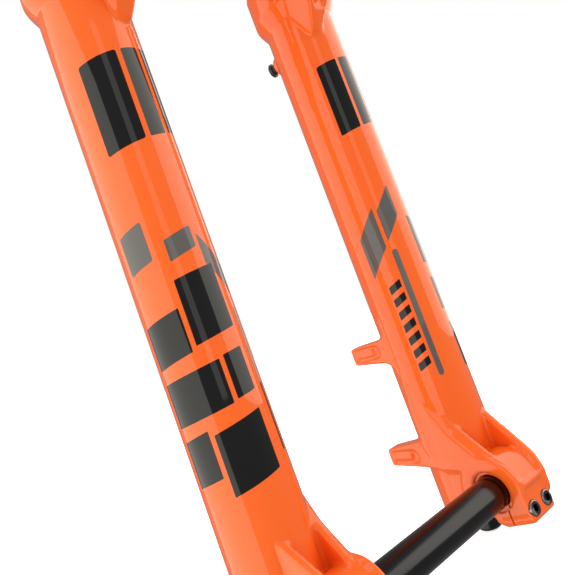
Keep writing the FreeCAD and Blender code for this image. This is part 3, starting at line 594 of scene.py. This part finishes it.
def spun(outline: Sequence[tuple[float, float]], centre: Vector, steps: int = 192) -> BMesh:
    """Turns a closed ring about an upright axis.

    Args:
        outline: The ring's section, as (radius, height) corners.
        centre: A point on the axis.
        steps: How many flats the turn has.

    Returns:
        The ring, with its faces outwards.
    """
    mesh = bmesh.new()
    verts = [mesh.verts.new((centre.x + r, centre.y, z)) for r, z in outline]
    for first, second in zip(verts, verts[1:] + verts[:1]):
        mesh.edges.new((first, second))
    bmesh.ops.spin(mesh, geom=[*mesh.verts, *mesh.edges], cent=centre, axis=(0, 0, 1),
                   angle=math.tau, steps=steps, use_merge=True)
    bmesh.ops.remove_doubles(mesh, verts=mesh.verts, dist=1e-7)
    bmesh.ops.recalc_face_normals(mesh, faces=mesh.faces)
    return mesh


# ---------------------------------------------------------------- the fork's places


class Side(Enum):
    """The two legs, by the side of the bike that they are on."""

    LEFT = 1
    RIGHT = -1

    @property
    def word(self) -> str:
        """The side's name in the names of pieces."""
        return self.name.lower()


def leg_axis(side: Side) -> Vector:
    """Finds a leg's centre line from the middle of its stanchion.

    Args:
        side: Which leg.

    Returns:
        The point of the centre line that is level with the axle.
    """
    low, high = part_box(f"stanchion_{side.word}")
    centre = (low + high) / 2
    return Vector((centre.x, centre.y, 0.0))


# ---------------------------------------------------------------- lower casting


@dataclass
class LowerCasting:
    """The cast lowers: two legs with their dropouts, the brake posts and the arch."""

    palette: Palette
    radius: float = 23.75 * MILLIMETRE
    bore_radius: float = 21.6 * MILLIMETRE
    foot_bore_radius: float = 20.7 * MILLIMETRE
    foot_level: float = -22.0 * MILLIMETRE
    foot_floor: float = -13.5 * MILLIMETRE
    bore_step: float = 40.0 * MILLIMETRE
    collar_radius: float = 28.5 * MILLIMETRE
    collar_base: float = 337.0 * MILLIMETRE
    collar_top: float = 362.0 * MILLIMETRE
    seat_radius: float = 24.6 * MILLIMETRE
    rim_height: float = 2.0 * MILLIMETRE
    seat_base: float = 339.0 * MILLIMETRE
    seat_plug: float = 3.0 * MILLIMETRE
    axle_radius: float = 10.04 * MILLIMETRE
    axle_reach: float = 110.0 * MILLIMETRE
    inner_face: float = 53.0 * MILLIMETRE
    hub_face: float = 55.0 * MILLIMETRE
    hub_radius: float = 12.5 * MILLIMETRE
    block_end: float = 77.0 * MILLIMETRE
    pinch_front: float = 21.6 * MILLIMETRE
    pinch_level: float = -10.2 * MILLIMETRE
    pinch_tilt: float = math.radians(10)
    pinch_sink: float = 3.2 * MILLIMETRE
    pinch_head: float = 4.6 * MILLIMETRE
    pinch_shank: float = 2.6 * MILLIMETRE
    pinch_depth: float = 22.0 * MILLIMETRE
    pinch_plug: tuple[float, float] = (5.0 * MILLIMETRE, 21.0 * MILLIMETRE)
    pinch_places: tuple[float, float] = (57.6 * MILLIMETRE, 71.2 * MILLIMETRE)
    slit_place: float = 7.5 * MILLIMETRE
    slit_width: float = 1.2 * MILLIMETRE
    slit_top: float = -7.53 * MILLIMETRE
    slit_spill: float = 4.0 * MILLIMETRE
    filler_width: float = 2.2 * MILLIMETRE
    filler_lift: float = 2.3 * MILLIMETRE
    post_levels: tuple[float, float] = (23.3 * MILLIMETRE, 97.5 * MILLIMETRE)
    post_face: float = -76.0 * MILLIMETRE
    post_lateral: float = 60.0 * MILLIMETRE
    thread_radius: float = 2.5 * MILLIMETRE
    thread_depth: float = 18.0 * MILLIMETRE
    bleed_radius: float = 3.6 * MILLIMETRE
    bleed_level: float = 313.0 * MILLIMETRE
    bleed_turn: float = math.radians(22)
    bleed_reach: tuple[float, float] = (15.0 * MILLIMETRE, 35.0 * MILLIMETRE)
    fender_radius: float = 2.1 * MILLIMETRE
    fender_lateral: float = 22.0 * MILLIMETRE
    fender_depth: float = 8.0 * MILLIMETRE
    foot_top: float = 135.0 * MILLIMETRE
    bridge_base: float = 290.0 * MILLIMETRE
    margin: float = 8.0 * MILLIMETRE
    overlap: float = 0.7 * MILLIMETRE
    seat_overlap: float = 0.8 * MILLIMETRE
    plug_sink: float = 4.0 * MILLIMETRE
    breach: float = 0.1 * MILLIMETRE
    run_out: float = 5.0 * MILLIMETRE
    untrued: float = 6.0 * MILLIMETRE
    foot_voxel: float = 0.7 * MILLIMETRE
    bridge_voxel: float = 1.0 * MILLIMETRE
    foot_smoothing: int = 12
    bridge_smoothing: int = 14

    def build(self) -> list[bpy.types.Object]:
        """Makes the casting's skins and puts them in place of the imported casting."""
        pieces = []
        for side in Side:
            pieces.append(new_piece(f"casting_foot_{side.word}", self.foot(side)))
            pieces.append(new_piece(f"casting_leg_{side.word}", self.leg(side)))
        pieces.append(new_piece("casting_bridge", self.bridge()))
        for piece in pieces:
            self.palette.dress(piece, ORANGE)
            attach(piece, "lowers")
            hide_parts("lower_casting")
        return pieces

    def pinch_axis(self) -> Vector:
        """The way that the pinch bolts' heads face."""
        return Vector((math.cos(self.pinch_tilt), 0, math.sin(self.pinch_tilt)))

    def pinch_faces(self, side: Side) -> list[Vector]:
        """The middle of each pinch bolt's hole, on the block's front face."""
        return [Vector((self.pinch_front, side.value * y, self.pinch_level)) for y in self.pinch_places]

    def slit(self, side: Side, width: float, base: float, spill: float) -> BMesh:
        """Makes a block that fills or cuts the slit under the axle.

        Args:
            side: Which leg.
            width: The block's size along X.
            base: Its lowest level.
            spill: How far it passes the dropout's faces.

        Returns:
            The block.
        """
        mesh = bmesh.new()
        ends = sorted((side.value * (self.inner_face - spill), side.value * (self.block_end + spill)))
        low = Vector((self.slit_place - width / 2, ends[0], base))
        high = Vector((self.slit_place + width / 2, ends[1], self.slit_top))
        add_block(mesh, low, high)
        return mesh

    def foot_blank(self, side: Side) -> BMesh:
        """Fills the bore, slit and screw holes of a leg's lower end, for its skin.

        Args:
            side: Which leg.

        Returns:
            The closed solids, which overlap.
        """
        mesh = merged_copy("lower_casting")
        axis = leg_axis(side)
        top = UP * (self.foot_top + self.margin)
        keep_side(mesh, top, UP)
        keep_side(mesh, Vector((0, 0, 0)), Vector((0, -side.value, 0)))
        plug_base = UP * (self.foot_floor - self.plug_sink)
        add_cylinder(mesh, self.bore_radius + self.overlap, axis + plug_base, axis + top)
        plug_radius, plug_length = self.pinch_plug
        for face in self.pinch_faces(side):
            add_cylinder(mesh, plug_radius, face - self.pinch_axis() * plug_length, face)
        pour(self.slit(side, self.filler_width, self.foot_level + self.filler_lift, 0.0), mesh)
        return mesh

    def foot(self, side: Side) -> BMesh:
        """Makes a leg's lower end: dropout, axle barrel, pinch block and the left leg's brake posts.

        Args:
            side: Which leg.

        Returns:
            The finished skin.
        """
        axis = leg_axis(side)
        skin = cast_skin(self.foot_blank(side), self.foot_voxel, self.foot_smoothing)
        true_up(skin, axis, self.radius, self.foot_level + self.untrued, self.collar_base)
        skin = cut(skin, self.foot_cutters(side))
        keep_side(skin, UP * self.foot_top, UP)
        return skin

    def foot_cutters(self, side: Side) -> list[BMesh]:
        """Makes the solids that cut the machined holes in a leg's lower end.

        Args:
            side: Which leg.

        Returns:
            The cutters.
        """
        axis = leg_axis(side)
        out = Vector((0, side.value, 0))
        shaft_low, shaft_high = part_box("damper_shaft")
        inside = out * (self.inner_face - self.run_out)
        step, top = UP * self.bore_step, UP * (self.foot_top + 2 * self.margin)
        cutters = [
            bore(self.foot_bore_radius, axis + UP * self.foot_floor, axis + step + UP * self.breach),
            bore(self.bore_radius, axis + step, axis + top),
            bore((shaft_high - shaft_low).x / 2, axis + UP * (self.foot_level - self.margin), axis),
            bore(self.axle_radius, inside, out * self.axle_reach),
            bore(self.hub_radius, inside, out * self.hub_face),
            self.slit(side, self.slit_width, self.foot_level - self.slit_spill, self.slit_spill),
        ]
        along = self.pinch_axis()
        for face in self.pinch_faces(side):
            sunk = face - along * self.pinch_sink
            end = face - along * self.pinch_depth
            cutters.append(bore(self.pinch_head, sunk, sunk + along * 2 * self.run_out))
            cutters.append(bore(self.pinch_shank, end, sunk + along * self.breach))
        if side is Side.LEFT:
            for level in self.post_levels:
                face = Vector((self.post_face, self.post_lateral, level))
                cutters.append(screw_hole(self.thread_radius, face, self.thread_depth))
        return cutters

    def leg(self, side: Side) -> BMesh:
        """Makes the plain tube between a dropout and the arch.

        Args:
            side: Which leg.

        Returns:
            The tube.
        """
        low, high = self.foot_top, self.bridge_base
        outline = [(self.bore_radius, low), (self.radius, low), (self.radius, high), (self.bore_radius, high)]
        return spun(outline, leg_axis(side))

    def bridge(self) -> BMesh:
        """The collars, the bleed bosses and the arch that joins the legs."""
        blank = merged_copy("lower_casting")
        base, seat, top = (UP * z for z in (self.bridge_base - self.margin, self.seat_base, self.collar_top))
        keep_side(blank, base, -UP)
        cutters = []
        for side in Side:
            axis = leg_axis(side)
            plug_base = axis + seat - UP * self.seat_plug
            low, high = axis + base - UP * self.margin, axis + seat + UP * self.breach
            add_cylinder(blank, self.bore_radius + self.seat_overlap, axis + base, axis + seat)
            add_cylinder(blank, self.seat_radius + self.seat_overlap, plug_base, axis + top)
            cutters.append(bore(self.bore_radius, low, high))
            cutters.append(bore(self.seat_radius, axis + seat, axis + top + UP * self.margin))
            turn = (math.pi + self.bleed_turn) * side.value
            away = Vector((math.cos(turn), math.sin(turn), 0))
            valve = axis + UP * self.bleed_level
            cutters.append(bore(self.bleed_radius, *(valve + away * reach for reach in self.bleed_reach)))
        skin = cast_skin(blank, self.bridge_voxel, self.bridge_smoothing)
        for side in Side:
            axis, rim = leg_axis(side), self.collar_top - self.rim_height
            true_up(skin, axis, self.radius, 0.0, self.collar_base)
            true_up(skin, axis, self.collar_radius, self.collar_base, rim)
        skin = cut(skin, cutters + self.fender_cutters())
        keep_side(skin, UP * self.bridge_base, -UP)
        return skin

    def fender_cutters(self) -> list[BMesh]:
        """The two screw holes behind the arch, at the places that the mount gives."""
        mount = next(m for m in frame["record"]["mounts"] if m["name"] == "fender_bolts")
        x, _, z = mount["pos_m"]
        faces = [Vector((x, side.value * self.fender_lateral, z)) for side in reversed(Side)]
        return [screw_hole(self.fender_radius, face, self.fender_depth) for face in faces]


# ---------------------------------------------------------------- printed graphics


@dataclass(frozen=True)
class Bar:
    """A slanted bar printed round a leg; turns are degrees, the rest millimetres."""

    start: float
    end: float
    low: float
    high: float
    slant: float = 0.0
    rounding: float = 0.5

    def corners(self) -> list[tuple[float, float]]:
        """The bar's corners as (turn, height)."""
        return [(self.start, self.low), (self.end, self.low + self.slant),
                (self.end, self.high + self.slant), (self.start, self.high)]


@dataclass
class LegGraphics:
    """Plain slanted bars and pinstripes on one leg, in black and grey."""

    palette: Palette
    side: Side
    radius: float
    clearance: float = 0.02 * MILLIMETRE
    thickness: float = 0.05 * MILLIMETRE
    step: float = 3.0
    black: list[Bar] = field(default_factory=list)
    grey: list[Bar] = field(default_factory=list)

    def build(self) -> list[bpy.types.Object]:
        """Makes one black and one grey piece for the leg."""
        pieces = []
        for word, bars, ink in (("black", self.black, BLACK_INK), ("grey", self.grey, GREY_INK)):
            mesh = bmesh.new()
            for bar in bars:
                self.print_bar(mesh, bar)
            piece = new_piece(f"graphics_{word}_{self.side.word}", mesh)
            self.palette.dress(piece, ink)
            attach(piece, "lowers")
            pieces.append(piece)
        return pieces

    def print_bar(self, mesh: BMesh, bar: Bar) -> None:
        """Adds one bar, made flat with X along the arc and Z up, and then wrapped round the leg.

        Args:
            mesh: The mesh to add the bar to.
            bar: The bar's place and shape.
        """
        flat = bmesh.new()
        verts = [flat.verts.new((self.radius * math.radians(turn), 0, height * MILLIMETRE))
                 for turn, height in bar.corners()]
        flat.faces.new(verts)
        bmesh.ops.bevel(flat, geom=flat.verts[:], offset=bar.rounding * MILLIMETRE, offset_type="OFFSET",
                        affect="VERTICES", segments=4, profile=0.5, material=-1)
        turn = math.ceil(bar.start / self.step) * self.step
        while turn < bar.end:
            place = Vector((self.radius * math.radians(turn), 0, 0))
            geometry = [*flat.verts, *flat.edges, *flat.faces]
            bmesh.ops.bisect_plane(flat, geom=geometry, dist=1e-7, plane_co=place, plane_no=(1, 0, 0))
            turn += self.step
        bmesh.ops.solidify(flat, geom=flat.faces[:], thickness=self.thickness)
        lowest = min(vert.co.y for vert in flat.verts)
        axis = leg_axis(self.side)
        for vert in flat.verts:
            reach = self.radius + self.clearance + vert.co.y - lowest
            angle = vert.co.x / self.radius
            vert.co = axis + Vector((math.cos(angle) * reach, math.sin(angle) * reach, vert.co.z))
        bmesh.ops.recalc_face_normals(flat, faces=flat.faces)
        pour(flat, mesh)


def stacked_bars(mirror: float | None = None) -> list[Bar]:
    """Lays out the large staggered bars on a leg's outer face.

    Args:
        mirror: The sum of a bar's turn and its mirrored turn, or None to leave the bars as they are.

    Returns:
        The bars.
    """
    bars = [
        Bar(-31, 24, 139, 172, 4.0), Bar(-92, -37, 133, 155, 4.0),
        Bar(-92, -12, 104, 126, 4.0), Bar(-6, 22, 109, 131, 1.5),
        Bar(-46, 17, 67, 97, 4.5), Bar(-92, -52, 74, 97, 3.0),
    ]
    if mirror is None:
        return bars
    return [Bar(mirror - bar.end, mirror - bar.start, bar.low + bar.slant, bar.high + bar.slant, -bar.slant)
            for bar in bars]


def ticks(start: float, end: float, slant: float) -> list[Bar]:
    """Lays out a ladder of seven short bars on a leg's inner face.

    Args:
        start: The turn that the bars start at, in degrees.
        end: The turn that they end at.
        slant: How much higher their ends are than their starts, in millimetres.

    Returns:
        The bars.
    """
    first, pitch, height = 78, 8.6, 5
    lows = [first + pitch * number for number in range(7)]
    return [Bar(start, end, low, low + height, slant, 0.3) for low in lows]


def right_graphics(palette: Palette, radius: float) -> LegGraphics:
    """Lays out the graphics of the leg that carries the damper.

    Args:
        palette: Where the inks come from.
        radius: The leg's radius.

    Returns:
        The leg's graphics.
    """
    black = stacked_bars() + [
        Bar(-55, -5, 239.5, 287.5, 4.5, 1.2), Bar(2, 27, 244.6, 292.6, 2.2, 0.8),
        Bar(34, 52, 247.5, 295.5, 1.6, 0.8),
        Bar(38, 43, 77, 152, 0.0, 0.9),
    ]
    grey = [
        Bar(-83, -46, 181, 201, 3.5, 1.2), Bar(-27, 9, 181, 192, 4.5, 0.8),
        Bar(15, 50, 176, 192, -17.0, 0.8), Bar(104, 142, 146, 168, 14.0, 0.8),
        Bar(128, 133, 76, 138, 0.0, 0.9),
    ]
    return LegGraphics(palette, Side.RIGHT, radius, black=black + ticks(108, 122, 2.6), grey=grey)


def left_graphics(palette: Palette, radius: float) -> LegGraphics:
    """Lays out the graphics of the leg that carries the air spring.

    Args:
        palette: Where the inks come from.
        radius: The leg's radius.

    Returns:
        The leg's graphics.
    """
    black = stacked_bars(37.0) + [
        Bar(-46, -10, 238, 287, 3.0, 1.2), Bar(-4, 22, 241.5, 290.5, 2.2, 0.8),
        Bar(29, 47, 244.2, 293.2, 1.5, 0.8),
    ]
    grey = [
        Bar(-80, -44, 143, 170, 17.0, 0.8), Bar(-38, -6, 163, 184, 15.0, 0.8),
        Bar(-38.5, -29.5, 72, 157, 0.0, 1.9), Bar(74, 110, 181, 201, -3.5, 1.2),
    ]
    return LegGraphics(palette, Side.LEFT, radius, black=black + ticks(-63, -43, 3.4), grey=grey)


# ---------------------------------------------------------------- turned and milled parts


@dataclass
class EasedPart:
    """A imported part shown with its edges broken, as a milled or turned piece has them.

    Edges that turn more than corner degrees are broken, and those under flat degrees are dissolved.
    """

    palette: Palette
    node: str
    edge: float = 0.3 * MILLIMETRE
    corner: float = 38.0
    flat: float = 0.6

    def build(self) -> bpy.types.Object:
        """Makes the eased copy and puts it in place of its node."""
        mesh = merged_copy(self.node)
        bmesh.ops.dissolve_limit(mesh, angle_limit=math.radians(self.flat), use_dissolve_boundaries=False,
                                 verts=mesh.verts, edges=mesh.edges)
        corners = [edge for edge in mesh.edges
                   if edge.is_manifold and edge.calc_face_angle(0.0) > math.radians(self.corner)]
        bmesh.ops.bevel(mesh, geom=corners, offset=self.edge, offset_type="OFFSET", affect="EDGES",
                        segments=2, profile=0.5, material=-1, clamp_overlap=True)
        piece = new_piece(f"{self.node}_eased", mesh, 40.0)
        flatten = piece.modifiers.new("flat_faces", "WEIGHTED_NORMAL")
        flatten.keep_sharp = True
        node = frame["nodes"][self.node]
        slot = slot_of(self.node)
        self.palette.dress(piece, SLOT_FINISHES[slot])
        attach(piece, node["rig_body"])
        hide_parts(self.node)
        return piece


@dataclass
class PinchBolts(EasedPart):
    """The axle's pinch bolts, plated bright, with painted shade down their sockets."""

    node: str = "axle_pinch_bolts"
    edge: float = 0.2 * MILLIMETRE
    socket_radius: float = 2.45 * MILLIMETRE

    def blacken_sockets(self, piece: bpy.types.Object, casting: LowerCasting) -> None:
        """Paints shade down each bolt's socket by giving its faces the black finish.

        Args:
            piece: The eased bolts.
            casting: The casting that they clamp, which knows where they are.
        """
        along = casting.pinch_axis()
        centres = [face for side in Side for face in casting.pinch_faces(side)]
        # The black finish here is painted shade: the sockets are plated like the heads, and only their depth
        # makes them dark.
        self.palette.add(piece, SLOT_FINISHES["black_steel"])
        for polygon in piece.data.polygons:
            nearest = min((polygon.center - centre).cross(along).length for centre in centres)
            if nearest < self.socket_radius:
                polygon.material_index = 1


@dataclass
class PistonSpring(EasedPart):
    """The coil spring over the damper's floating piston."""

    node: str = "floating_piston_spring"
    edge: float = 0.1 * MILLIMETRE
    joint: str = "floating_piston_slide"

    def build(self) -> bpy.types.Object:
        """Makes the eased spring with a mesh of its own; the share of its length that the piston's stroke
        gives is worked out but not used.
        """
        low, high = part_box(self.node)
        joints = frame["record"]["behaviour"]["joints"]
        stroke = next(joint["range_m"][1] for joint in joints if joint["name"] == self.joint)
        spring = super().build()
        1.0 - stroke / (high.z - low.z)
        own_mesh(spring)
        return spring


def slot_of(node: str) -> str:
    """Looks up a CAD node's material slot in the record.

    Args:
        node: The node's name.

    Returns:
        The slot's name.
    """
    for part in frame["record"]["subparts"]:
        if part["node"] == node:
            return part["material_slot"]
    raise KeyError(node)


EASED_NODES = {
    "lower_crown": 0.6, "upper_crown": 0.6, "lower_crown_bolts": 0.25, "upper_crown_bolts": 0.25,
    "steerer_clamp_bolt": 0.25, "steerer_cap": 0.3, "steerer_cap_bolt": 0.25, "air_top_cap": 0.3,
    "damper_top_cap": 0.3, "valve_cap": 0.25, "high_speed_knob": 0.2, "low_speed_knob": 0.2,
    "air_foot_nut": 0.3, "damper_foot_nut": 0.2, "rebound_knob": 0.2,
}


# ---------------------------------------------------------------- studio


@dataclass(frozen=True)
class Panel:
    """A tall soft light that stands round the fork, given by turns about it in degrees."""

    name: str
    start: float
    end: float
    low: float
    high: float
    brightness: float
    distance: float = 1.5
    tint: Colour = (1.0, 0.98, 0.88)

    def build(self, centre: Vector) -> bpy.types.Object:
        """Makes the light, square to the fork and as wide as its turns say.

        Args:
            centre: The middle of the fork.

        Returns:
            The light.
        """
        middle = math.radians((self.start + self.end) / 2)
        half = math.radians((self.end - self.start) / 2)
        data = bpy.data.lights.new(self.name, "AREA")
        data.shape = "RECTANGLE"
        data.size = 2 * self.distance * math.tan(half)
        data.size_y = self.high - self.low
        data.energy = self.brightness * math.pi * data.size * data.size_y
        data.color = self.tint
        light = bpy.data.objects.new(self.name, data)
        away = Vector((math.cos(middle), math.sin(middle), 0))
        light.location = Vector((centre.x, centre.y, (self.low + self.high) / 2)) + away * self.distance
        light.rotation_mode = "QUATERNION"
        light.rotation_quaternion = (-away).to_track_quat("-Z", "Y")
        light.visible_camera = False
        bpy.context.scene.collection.objects.link(light)
        return light


@dataclass
class Studio:
    """A white floor, three tall soft panels and a soft top light."""

    panels: tuple[Panel, ...] = (
        Panel("left_panel", -154.0, -54.0, -0.9, 1.5, 1.35),
        Panel("right_panel", 31.0, 118.0, -0.05, 1.5, 1.5),
        Panel("front_strip", -22.0, -8.0, 0.0, 1.4, 0.8, 1.7),
    )
    world_glow: float = 0.82
    mirrored_glow: float = 0.24
    floor_gap: float = 0.5 * MILLIMETRE
    floor_radius: float = 9.0
    floor_glow: float = 0.7
    top_height: float = 0.9
    top_size: float = 1.2
    top_brightness: float = 1.1

    def build(self) -> None:
        """Sets the floor, the world and the lights."""
        low, high = CAD_BOX
        centre = (low + high) / 2
        for panel in self.panels:
            panel.build(centre)
        self.top_light(Vector((centre.x, centre.y, high.z + self.top_height)))
        self.floor(low.z - self.floor_gap)
        self.world()
        bpy.context.scene.view_settings.view_transform = "Standard"

    def top_light(self, place: Vector) -> None:
        """A broad light over the crowns."""
        data = bpy.data.lights.new("top_panel", "AREA")
        data.size = self.top_size
        data.energy = self.top_brightness * math.pi * data.size ** 2
        light = bpy.data.objects.new("top_panel", data)
        light.location = place
        light.visible_camera = False
        bpy.context.scene.collection.objects.link(light)

    def floor(self, level: float) -> None:
        """A wide pale floor that isn't part of the fork."""
        mesh = bmesh.new()
        bmesh.ops.create_circle(mesh, cap_ends=True, segments=96, radius=self.floor_radius,
                                matrix=Matrix.Translation((0, 0, level)))
        floor = new_piece("studio_floor", mesh)
        graph = Graph("studio_floor_paint")
        mottle = graph.noise(3.0, 3.0)
        colour = graph.blend(mottle, (0.90, 0.90, 0.90), (0.93, 0.93, 0.93))
        fixed = {
            "Specular IOR Level": 0.1, "Emission Color": (1, 1, 1, 1), "Emission Strength": self.floor_glow,
        }
        graph.close(colour, 0.7 + 0.1 * mottle, graph.bump(mottle, 0.1 * MILLIMETRE, 0.2), fixed)
        floor.data.materials.append(graph.material)
        floor.visible_glossy = False
        floor.visible_diffuse = False

    def world(self) -> None:
        """A dim surround for the reflections, white where the camera sees it."""
        world = bpy.data.worlds.new("studio")
        world.use_nodes = True
        bpy.context.scene.world = world
        nodes, links = world.node_tree.nodes, world.node_tree.links
        background = nodes["Background"]
        background.inputs["Color"].default_value = (1, 1, 1, 1)
        rays = nodes.new("ShaderNodeLightPath")
        strength = self.world_glow
        for ray, value in (("Is Glossy Ray", self.mirrored_glow), ("Is Camera Ray", 1.0)):
            choice = nodes.new("ShaderNodeMix")
            links.new(rays.outputs[ray], choice.inputs["Factor"])
            if isinstance(strength, float):
                choice.inputs["A"].default_value = strength
            else:
                links.new(strength, choice.inputs["A"])
            choice.inputs["B"].default_value = value
            strength = choice.outputs["Result"]
        links.new(strength, background.inputs["Strength"])


@dataclass(frozen=True)
class Viewpoint:
    """A camera low beside the right leg, looking in past the dropouts; angles are degrees."""

    place: tuple[float, float, float] = (0.22984, -0.21396, 0.12939)
    azimuth: float = 52.324
    elevation: float = -4.440
    roll: float = -20.259
    lens: float = 35.45

    def build(self) -> bpy.types.Object:
        """Makes the scene's camera."""
        turn, rise = math.radians(self.azimuth), math.radians(self.elevation)
        back = Vector((math.sin(turn) * math.cos(rise), -math.cos(turn) * math.cos(rise), math.sin(rise)))
        data = bpy.data.cameras.new("camera")
        data.lens = self.lens
        data.sensor_width = 36.0
        data.clip_start, data.clip_end = 0.01, 50.0
        camera = bpy.data.objects.new("camera", data)
        camera.location = self.place
        camera.rotation_mode = "QUATERNION"
        level = (-back).to_track_quat("-Z", "Y")
        camera.rotation_quaternion = level @ Quaternion((0, 0, 1), math.radians(self.roll))
        bpy.context.scene.collection.objects.link(camera)
        bpy.context.scene.camera = camera
        return camera


# ---------------------------------------------------------------- the whole fork


def dress_packed_nodes(palette: Palette) -> None:
    """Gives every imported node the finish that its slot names."""
    for name, node in frame["nodes"].items():
        palette.dress(node, SLOT_FINISHES[slot_of(name)])
    palette.dress(frame["nodes"]["axle"], AXLE_FINISH)
    for side in Side:
        palette.dress(frame["nodes"][f"frame_bumper_{side.word}"], GREY_BUMPER)


def main() -> None:
    """Builds the studio, the casting, the graphics and the eased parts in order."""
    logging.basicConfig(level=logging.INFO, format="%(message)s")
    Viewpoint().build()
    Studio().build()
    palette = Palette()
    dress_packed_nodes(palette)
    casting = LowerCasting(palette)
    pieces = casting.build()
    for graphics in (left_graphics(palette, casting.radius), right_graphics(palette, casting.radius)):
        pieces += graphics.build()
    for node, edge in EASED_NODES.items():
        pieces.append(EasedPart(palette, node, edge * MILLIMETRE).build())
    pieces.append(PistonSpring(palette).build())
    bolts = PinchBolts(palette)
    pieces.append(bolts.build())
    # Paints shade into the bolts' sockets with the black finish.
    bolts.blacken_sockets(pieces[-1], casting)
    for piece in pieces:
        LOG.info("%s: %d faces", piece.name, len(piece.data.polygons))


if __name__ == "__main__":
    main()
